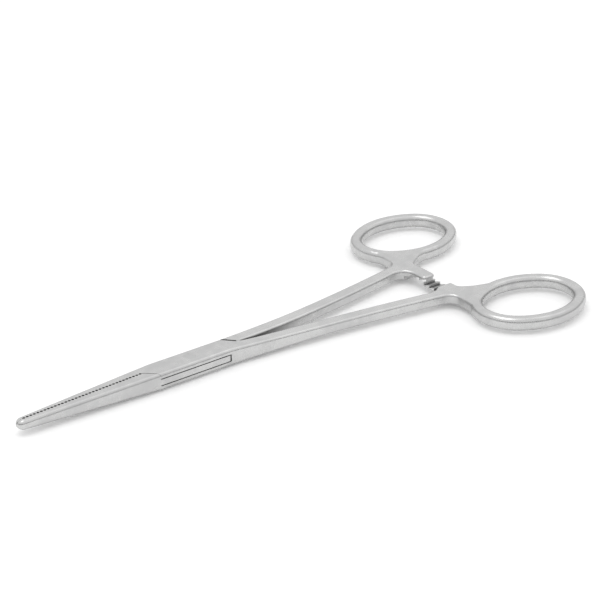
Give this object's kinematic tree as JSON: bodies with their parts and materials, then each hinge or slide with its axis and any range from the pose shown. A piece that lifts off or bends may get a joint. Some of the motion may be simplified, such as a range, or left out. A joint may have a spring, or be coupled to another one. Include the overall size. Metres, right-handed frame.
{
  "type": "hemostat forceps",
  "caption": "Straight haemostatic forceps: cross-serrated jaws, box-lock hinge, slim shanks with toothed ratchet bars and oval finger rings.",
  "frame": {"origin": "on the hinge axis of the box lock, at the flat underside of the box that the forceps lie on", "axes": "+X from the hinge towards the finger rings, with the jaws on -X; +Z along the hinge axis, up from the flat underside; the jaws meet on the XZ plane"},
  "size_m": [0.1403, 0.0692, 0.0043],
  "materials": {
    "forged_steel": "satin polished stainless steel",
    "pin_steel": "stainless steel ground flush and satin polished"
  },
  "bodies": {
    "box_body": {"box_half": "forged_steel", "box_lock_pin": "pin_steel"},
    "tongue_body": {"tongue_half": "forged_steel"}
  },
  "joints": [
    {"name": "box_lock_hinge", "type": "hinge", "parent": "box_body", "child": "tongue_body", "pos_m": [0, 0, 0.00215], "axis": [0, 0, 1], "range_deg": [0, 35]}
  ]
}
